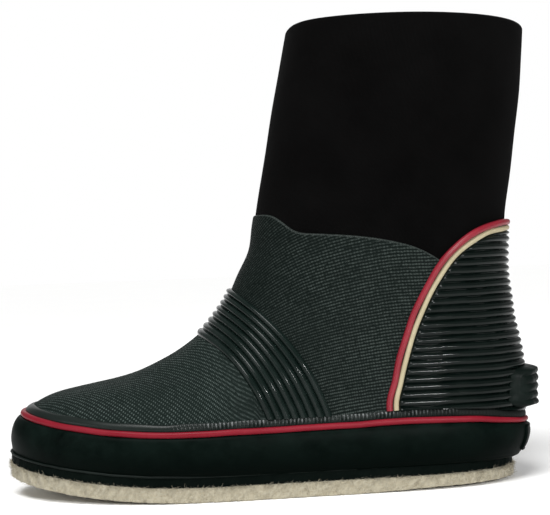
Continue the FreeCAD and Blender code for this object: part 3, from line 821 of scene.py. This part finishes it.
def make_heel_counter():
    """Ribbed cup round the heel. The ribs run level and round off short of the piping."""
    top = float(PIPING_HEIGHT(0.0)) - 0.15
    dense = 140                # finer rows over this height, where the cup's top edge curves
    h = np.concatenate([steps(HEEL_RIBS_FROM, dense, RIB_PITCH / 14),
                        steps(dense, top, RIB_PITCH / 18)[1:]])
    across = np.sin(steps(-1, 1, 1 / 150) * math.pi / 2)
    h, angle = h[:, None], np.mod(across * heel_piping_angle(h[:, None]), TURN)
    h, angle = np.broadcast_arrays(h, angle)
    place = form(h, angle)
    edge = from_piping(place)
    margin, end_round = 5.5, 1.7
    start = np.clip((edge - margin) / end_round, 0, 1)
    rounded_end = np.sqrt(1 - (1 - start) ** 2)
    swell = 1 + 0.16 * np.exp(-((edge - 8) / 3) ** 2)
    wander = 0.10 * ripple(place, 26, 32)
    crest = rib_arch((h + wander - HEEL_RIBS_FROM) / RIB_PITCH) * (1 + 0.08 * ripple(place, 20, 31))
    depth = GLUE + 1.2 + (0.3 + 1.65 * crest * swell) * rounded_end
    mask = h > strip_top(angle) - 0.2
    shell("heel_counter_ribs", layer(h, angle, depth), layer(h, angle, GLUE), [SHADED_HEEL_RIB],
          "heel_counter", mask=mask[:-1, :-1] & mask[:-1, 1:], sharp=70)


def make_piping(name, material, node, offset, width, height):
    """Half-round bead along the heel piping line, offset towards the heel."""
    s_all = np.linspace(0, 1.05, 500)
    end = float(np.interp(-(STRIP_TOP + 1.6), -PIPING_HEIGHT(s_all), s_all))
    s = steps(-end, end, end / 240)
    line, normal = form(*piping_line(s)), outward(*piping_line(s))
    travel = form(*piping_line(s + 0.012)) - form(*piping_line(s - 0.012))
    heelward = unit(np.cross(normal, travel))
    turn = np.linspace(math.pi, 0, 17)[:, None, None]
    side = np.sign(np.cos(turn)) * np.abs(np.cos(turn)) ** 0.8
    wobble = 0.12 * np.sin(s * 37 + offset)[:, None]
    base = line + heelward * (offset + side * width / 2 + wobble)
    shell(name, base + normal * (COVER + height * np.sin(turn) ** 0.9), base + normal * (COVER - 0.5),
          [material], node)


# ---- rand
def profile(points, count):
    """Smooth run of (height, depth) pairs through a few of them."""
    points = np.array(points, float)
    at = np.concatenate([[0], np.cumsum(np.linalg.norm(np.diff(points, axis=0), axis=1))])
    share = np.linspace(0, at[-1], count)
    return np.stack([curve(list(zip(at, points[:, k])))(share) for k in (0, 1)], axis=-1)


def make_rand():
    """The black band round the foot, with its overlap on the inner side, and the red bead on it."""
    angle = AROUND_FINE[None, :]
    run = profile([(15.1, 1.6), (15.15, 3.4), (16.0, 4.35), (18.5, 4.75), (22, 4.95), (26, 5.0),
                   (30, 4.75), (33, 4.2), (35, 3.4), (RAND_TOP - 0.1, 2.5), (RAND_TOP, 1.6)],
                  int(56 * DETAIL))
    h, depth = run[:, :1] + 0 * angle, run[:, 1:]
    place = form(h, angle)
    waves = 0.3 * ripple(place, 70, 41) + 0.1 * ripple(place, 16, 42)
    middle = np.sin(np.pi * (h - OUTSOLE_TOP) / (RAND_TOP - OUTSOLE_TOP))
    lap_from, lap_to, lap_edge = 5.02, 5.30, 0.012
    lap = 0.55 * smooth((angle - lap_from) / lap_edge) * smooth((lap_to - angle) / lap_edge)
    roll = -0.22 * np.exp(-((h - 17.6) / 0.35) ** 2)
    sag = 0.35 * ripple(place * [1, 1, 0], 55, 43)
    shell("rand_band", on_rand(h + sag * middle, angle, depth + waves * middle + lap * middle + roll),
          on_rand(h, angle, COVER), [RAND], "foxing_band", wrap=True)
    middle_h, half = (RAND_TOP + STRIPE_TOP) / 2 + 0.05, (STRIPE_TOP - RAND_TOP) / 2 + 0.05
    turn = np.linspace(-math.pi / 2, math.pi / 2, 17)[:, None]
    wobble = 0.12 * ripple(form(middle_h, angle), 30, 44)
    h = middle_h + half * np.sin(turn) * (1 + 0.05 * wobble) + wobble
    shell("rand_red_bead", on_rand(h, angle, 1.9 + 2.0 * np.cos(turn) ** 0.8), on_rand(h, angle, COVER),
          [BEAD_RED], "foxing_stripe", wrap=True)


def upright(h, angle, from_h):
    """Angle at height h that lies straight under a place at from_h, except near toe and heel."""
    x = form(from_h, angle)[..., 0]
    outer = on_side(x, h)
    straight = np.where(angle <= math.pi, outer, TURN - outer)
    share = smooth((0.97 - np.abs(np.cos(angle))) / 0.12)
    return angle + (straight - angle) * share


def make_knurled_strip():
    """Strip over the red bead, with upright knurls except round the toe and the heel."""
    angle = np.linspace(0, TURN, int(3200 * DETAIL) + 1)[None, :]
    share = np.linspace(0, 1, 13)[:, None]
    h = mix(STRIPE_TOP, STRIP_TOP, share) + 0 * angle
    run = arc_length(form(STRIP_TOP, angle)) + 0 * h
    total = float(run[0, -1])
    run = run / total * round(total / TEETH) * TEETH
    angles = upright(h, angle + 0 * h, STRIP_TOP)
    place = form(h, angles)
    x = place[..., 0]
    groove = np.abs(np.cos(math.pi * run / TEETH)) ** 3
    cut = smooth((x - KNURLS_FROM) / 40) * (1 - 0.85 * smooth((x - KNURLS_TO) / 30))
    cut = cut * np.clip(0.8 + 0.35 * ripple(place, 12, 51), 0, 1)
    body = np.sin(math.pi * np.clip(share, 0.02, 1) ** 0.7) ** 0.5
    depth = COVER + 0.2 + (1.15 - 0.95 * cut * groove) * body
    wave = 0.25 * ripple(place, 24, 52) * share
    shell("knurled_strip", on_rand(h + wave, angles, depth), on_rand(h, angles, COVER - 0.3), [STRIP],
          "foxing_top_strip", wrap=True, uv=np.stack([run, share * cut], axis=-1))


def rounded(across, up, corner):
    """How deep inside a rounded rectangle a place is, in the units of the corner's radius."""
    x = np.maximum(0, np.abs(across) - (1 - corner))
    y = np.maximum(0, np.abs(up) - (1 - corner))
    return corner - np.hypot(x, y)


def make_heel_label():
    """Blank plate on the back of the rand: a raised border round a field of fine level ridges."""
    up, across = np.meshgrid(np.linspace(-1, 1, 61), np.linspace(-1, 1, 121), indexing="ij")
    h = LABEL_MIDDLE + LABEL_HALF * up
    angle = np.mod(LABEL_SWEEP * across, TURN)
    inside = rounded(across, up, 0.3)
    border = smooth(inside / 0.05) * (1 - 0.45 * smooth((inside - 0.14) / 0.04))
    ridges = 0.12 * np.sin(TURN * 7 * up) * smooth((inside - 0.2) / 0.05)
    shell("heel_plate", on_rand(h, angle, RAND_DEPTH(h) + 0.2 + 0.95 * border + ridges),
          on_rand(h, angle, RAND_DEPTH(h) - 0.6), [RAND], "heel_label",
          mask=inside[:-1, :-1] > 0.0)


def make_heel_tab():
    """Kick-off tab: a block of rubber with level ribs across its back and smooth sloping flanks."""
    up, across = np.meshgrid(np.linspace(-1, 1, int(110 * DETAIL)), np.linspace(-1, 1, int(180 * DETAIL)),
                             indexing="ij")
    h = TAB_LOW + TAB_TALL * (up + 1) / 2
    angle = np.mod(TAB_HALF * across, TURN)
    place = form(h, angle)
    inside = rounded(across, up, 0.45) + 0.015 * ripple(place, 7, 61)
    brink = np.sqrt(np.clip(inside / 0.14, 0, 1))
    flank = smooth((1.02 - np.abs(across)) / 0.42) ** 0.85
    lobe = rib_arch((up + 1) / 2 * TAB_RIBS)
    ribbed = smooth((0.86 - np.abs(across)) / 0.25)
    rise = (TAB_REACH - TAB_FLANK + 0.3 * ripple(place, 6, 62)) * flank - 1.4 * (1 - lobe) * ribbed
    shell("heel_kick_tab", layer(h, angle, TAB_FLANK - 0.8 + (rise + 0.8) * brink), layer(h, angle, 1.6),
          [TAB], "heel_tab", mask=inside[:-1, :-1] > 0.0, sharp=60)


# ---- sole
SOLE_MIDDLE = np.array([(SOLE_TOE + SOLE_HEEL) / 2, 1.0])


def heel_rocker(x):
    """How far the felt's underside rises under the heel, where it is trodden thin."""
    return HEEL_WEAR * smooth((x - 40) / 60)


def away_from_middle(plan, along):
    """Directions square to a plan's own, level and outward."""
    out = np.column_stack([-along[:, 1], along[:, 0]])
    return out * np.sign(np.sum(out * (plan - SOLE_MIDDLE), axis=1))[:, None]


def pad(name, plan, levels, material, node, rough=0.0, size=2.0, seed=0, top=None, under=None):
    """Closed flat body. levels are (share of the plan, height) from the underside's middle round.

    rough roughens its edge by that many millimetres, in lumps of that size. top and under raise its
    upper and lower faces.
    """
    away = away_from_middle(plan[:-1], unit(np.gradient(plan[:-1], axis=0)))
    away = np.concatenate([away, away[:1]])
    low, high = levels[0][1], levels[-1][1]
    grid = []
    for share, h in levels:
        flat = mix(SOLE_MIDDLE, plan, share)
        z = h + spring(flat[:, 0])
        if under is not None:
            z = z + under(flat[:, 0]) * (high - h) / (high - low)
        if top is not None and h > (low + high) / 2:
            z = z + top(flat, share)
        grid.append(np.column_stack([flat, z]))
    grid = np.array(grid)
    if rough:
        shares = np.array([share for share, _ in levels])[:, None]
        push = rough * (ripple(grid, size, seed) + 0.6 * ripple(grid, size / 3, seed + 1))
        grid[..., :2] += away * (push * (shares > 0.95))[..., None]
        lift = 0.35 * rough * np.maximum(1 + ripple(grid, size * 1.3, seed + 2), 0)
        grid[..., 2] += lift * (shares > 0.05)
    skin(name, grid, material, node, sharp=70)


def sole_plan(grow):
    """Plan of the sole, a little wider than the felt by grow."""
    x, y = outline(np.linspace(0, TURN, int(1400 * DETAIL) + 1), SOLE_TOE - grow, SOLE_HEEL + grow,
                   SOLE_HALF + grow, 1.0)
    return np.column_stack([x, y])


def slab_levels(low, high, corner):
    """Levels of a slab with rounded edges."""
    rings = [0.0, 0.02, 0.15, 0.3, 0.45, 0.6, 0.72, 0.82, 0.9, 0.95, 0.975]
    edge = 0.016
    round_off = [(1 - edge + edge * math.cos(a), corner + corner * math.sin(a))
                 for a in np.linspace(-math.pi / 2, 0, 6)]
    under = [(share, low) for share in rings] + [(share, low + rise) for share, rise in round_off]
    sides = [(1.0, h) for h in np.linspace(low + corner, high - corner, 13)[1:-1]]
    over = [(share, low + high - h) for share, h in reversed(under)]
    return under + sides + over


def dish(flat, share):
    """Raised heel cup and arch of the loose insole."""
    cup = 2.2 * smooth((share - 0.55) / 0.45) * smooth((flat[:, 0] - 10) / 70)
    arch = 2.6 * np.exp(-((flat[:, 0] - 25) / 32) ** 2) * smooth((flat[:, 1] - 5) / 22)
    return cup + arch


def make_sole():
    """Felt, the rubber over it with a thin lip round its top edge, and the loose insole."""
    pad("felt_pad", sole_plan(0.0), slab_levels(0.0, FELT, 0.9), FELT_CLOTH, "felt_sole",
        rough=0.5, size=7, seed=71, under=heel_rocker)
    pad("outsole_rubber", sole_plan(-0.4), slab_levels(FELT + 0.05, OUTSOLE_TOP, 0.5), SOLE,
        "outsole_sheet", rough=0.25, size=9, seed=75)
    rim = sole_plan(0.0)
    lip = np.column_stack([rim, OUTSOLE_TOP - 0.7 + spring(rim[:, 0])])
    out = np.column_stack([unit(rim - SOLE_MIDDLE), rim[:, 0] * 0])
    lip[:, 2] += 0.12 * ripple(lip, 16, 76)
    turn = np.linspace(0, TURN, 9)[:, None, None]
    skin("outsole_lip", lip + 0.6 * (out * np.cos(turn) + np.array([0, 0, 1.0]) * np.sin(turn)),
         LIP)
    bed_plan = layer(SOCK_SOLE_TOP, np.linspace(0, TURN, 721), -(WALL + 0.8))[:, :2]
    pad("insole_bed", bed_plan, slab_levels(SOCK_SOLE_TOP + 0.1, SOCK_SOLE_TOP + FOOTBED, 0.8), BED,
        "footbed", rough=0.1, size=14, seed=79, top=dish)


def make_fibres():
    """Loose fibres standing off the felt's edge."""
    rng = np.random.default_rng(83)
    count = int(FIBRES * DETAIL)
    plan = sole_plan(0.0)
    spot = rng.integers(0, len(plan) - 1, count)
    at = plan[spot]
    along = unit(plan[(spot + 3) % (len(plan) - 1)] - plan[spot - 3])
    out = away_from_middle(at, along)
    h = np.where(rng.random(count) < 0.6, rng.normal(FELT - 0.1, 0.4, count),
                 rng.uniform(0.3, FELT, count))
    trodden = heel_rocker(at[:, 0]) * (1 - h / FELT)
    root = np.column_stack([at + out * rng.uniform(-0.4, 0.2, count)[:, None],
                            h + trodden + spring(at[:, 0])])
    level = along * rng.normal(0, 1, count)[:, None] + out * rng.uniform(0.1, 0.9, count)[:, None]
    way = unit(np.column_stack([level, rng.normal(0, 0.35, count)]))[:, None]
    length = rng.uniform(0.7, 2.2, count)[:, None, None]
    curl = rng.normal(0, 0.35, (count, 3))[:, None]
    thick = rng.uniform(0.06, 0.11, count)[:, None]
    share = np.array([0.0, 0.5, 1.0])
    lines = root[:, None] + way * length * share[:, None] + curl * length * share[:, None] ** 2
    lines[..., 2] = np.maximum(lines[..., 2], spring(lines[..., 0]) + 0.15)
    side = unit(np.cross(way, [0, 0, 1.0]))
    tubes("felt_fibres", lines, side, np.cross(way, side), thick * (1 - 0.6 * share), 3, FELT_CLOTH)


# ---- seams
def make_tapes():
    """Crowned tapes over the seams inside: round the ankle and up the back of the leg."""
    share = np.linspace(-1, 1, 15)
    h, angle = SHAFT_JOIN + TAPE_HALF * share[:, None], AROUND[None, :]
    crown = WALL + GLUE + 0.1 + 0.4 * (1 - share[:, None] ** 4)
    shell("ankle_tape", layer(h, angle, 0.1 - WALL), layer(h, angle, -crown), [TAPE],
          "ankle_seam_tape", wrap=True)
    h, angle = np.meshgrid(steps(SHAFT_JOIN + TAPE_HALF + 0.3, SHAFT_TOP - LINING_DROP, 1.5),
                           np.mod(TAPE_SWEEP * share, TURN), indexing="ij")
    soft = leg_wave(h, angle) * 0.9
    crown = WALL + 0.45 * (1 - share ** 4)
    shell("back_tape", on_leg(h, angle, soft - WALL + 0.15), on_leg(h, angle, soft - crown), [TAPE],
          "back_seam_tape")


def thread(name, lines, thick):
    """Short lengths of thread, each along a few points."""
    lines = np.array(lines)
    travel = unit(np.gradient(lines, axis=1))
    side = unit(np.cross(travel, [0.3, 0.9, 0.2]))
    tubes(name, lines, side, np.cross(travel, side), np.full(lines.shape[:2], thick), 6, THREAD)


def make_stitches():
    """Zigzag up the back seam of the leg outside, and a row along each edge of the ankle tape inside."""
    lines = []
    low, high = 151.5, SHAFT_TOP - TURN_IN     # from just over the heel counter
    for k in range(int((high - low) / STITCH)):
        h = low + STITCH * (k + np.linspace(0, 1, 6))
        angle = np.mod(0.016 * (1 if k % 2 else -1) * np.linspace(-1, 1, 6), TURN)
        bow = 0.12 + 0.1 * np.sin(np.linspace(0, math.pi, 6))
        lines.append(on_leg(h, angle, bow + leg_wave(h, angle)))
    thread("back_seam_stitches", lines, 0.2)
    lines = []
    bow = 0.35 + 0.1 * np.sin(np.linspace(0, math.pi, 5))
    for row in (-6.3, 6.3):
        for start in np.linspace(0, TURN, 190)[:-1]:
            lines.append(layer(SHAFT_JOIN + row, start + np.linspace(0, 0.018, 5), -(WALL + bow)))
    thread("ankle_tape_stitches", lines, 0.16)


# ---- pieces that stay as they are
def dress_solids():
    """Materials for the sealed inner solids."""
    for node, material in (("midsole_sponge", SPONGE), ("insole_board", BOARD), ("sock_sole", SPONGE),
                           ("toe_puff", STIFF), ("heel_stiffener", STIFF)):
        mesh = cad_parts[node].data
        mesh.materials.clear()
        mesh.materials.append(material)


# ---- stage
def make_floor():
    mesh = bpy.data.meshes.new("floor")
    far = 8.5                  # metres, inside the dome
    mesh.from_pydata([(-far, -far, 0), (far, -far, 0), (far, far, 0), (-far, far, 0)], [], [(0, 1, 2, 3)])
    floor = bpy.data.objects.new("floor", mesh)
    show(floor)
    paint = Paint("floor", Roughness=0.9, Specular_IOR_Level=0.05)
    grain = paint.noise(400, 2)
    paint.colour(paint.blend(grain, (0.945, 0.945, 0.94), (0.96, 0.96, 0.955)))
    mesh.materials.append(paint.material)


def put_lamp(data, way, place=(0, 0, 0)):
    """Hangs a lamp that shines along way."""
    lamp = bpy.data.objects.new(data.name, data)
    lamp.location = place
    lamp.rotation_euler = Vector(way).to_track_quat("-Z", "Y").to_euler()
    lamp.visible_camera = False
    show(lamp)


def area_light(name, place, power, width, height):
    """A white panel, width by height in metres, that faces the boot."""
    data = bpy.data.lights.new(name, "AREA")
    data.shape = "RECTANGLE"
    data.size, data.size_y = width, height
    data.energy = power
    put_lamp(data, Vector((0.02, 0, 0.1)) - Vector(place), place)


def make_light():
    world = bpy.data.worlds.new("studio")
    world.use_nodes = True
    sky = world.node_tree.nodes["Background"]
    sky.inputs["Color"].default_value = (1, 1, 1, 1)
    sky.inputs["Strength"].default_value = 0.28
    bpy.context.scene.world = world
    sun = bpy.data.lights.new("overhead", "SUN")
    sun.energy, sun.angle = 2.8, math.radians(28)
    put_lamp(sun, (0.2, 0.5, -1))
    area_light("key", (0.56, -1.19, 0.48), 11, 0.07, 0.07)
    area_light("left", (-1.3, -0.8, 0.5), 3, 0.5, 0.5)
    area_light("behind", (-0.2, 1.7, 0.8), 4.5, 1.8, 1.2)


def make_backdrop():
    """A plain white dome round the studio. It is seen but lights nothing."""
    bpy.ops.mesh.primitive_uv_sphere_add(segments=48, ring_count=24, radius=9.0)
    dome = bpy.context.object
    dome.name = "backdrop"
    material = bpy.data.materials.new("backdrop")
    material.use_nodes = True
    tree = material.node_tree
    tree.nodes.clear()
    glow = tree.nodes.new("ShaderNodeEmission")
    output = tree.nodes.new("ShaderNodeOutputMaterial")
    glow.inputs["Strength"].default_value = 1.0
    tree.links.new(glow.outputs[0], output.inputs["Surface"])
    dome.data.materials.append(material)
    for reach in ("visible_diffuse", "visible_glossy", "visible_transmission", "visible_shadow",
                  "visible_volume_scatter"):
        setattr(dome, reach, False)


def make_camera():
    """Level view along +Y at the height of the ankle, turned a little about its own axis."""
    data = bpy.data.cameras.new("camera")
    data.sensor_width = 36.0
    data.lens = 81.0
    data.clip_start, data.clip_end = 0.01, 100.0
    camera = bpy.data.objects.new("camera", data)
    turn = Matrix.Rotation(math.radians(90), 4, "X") @ Matrix.Rotation(math.radians(-2.2), 4, "Z")
    camera.matrix_world = Matrix.Translation((0.00425, -0.720, 0.1315)) @ turn
    show(camera)
    bpy.context.scene.camera = camera


bpy.context.scene.view_settings.view_transform = "Standard"
make_camera()
make_light()
make_floor()
make_backdrop()
make_leg()
make_foot_lining()
make_panels()
make_instep_ribs()
make_heel_counter()
make_piping("heel_piping_red_bead", RED, "heel_piping_red", 0.4, 3.5, 1.9)
make_piping("heel_piping_cream_bead", CREAM, "heel_piping_cream", 3.85, 3.0, 1.7)
make_rand()
make_knurled_strip()
make_heel_label()
make_heel_tab()
make_sole()
make_fibres()
make_tapes()
make_stitches()
dress_solids()
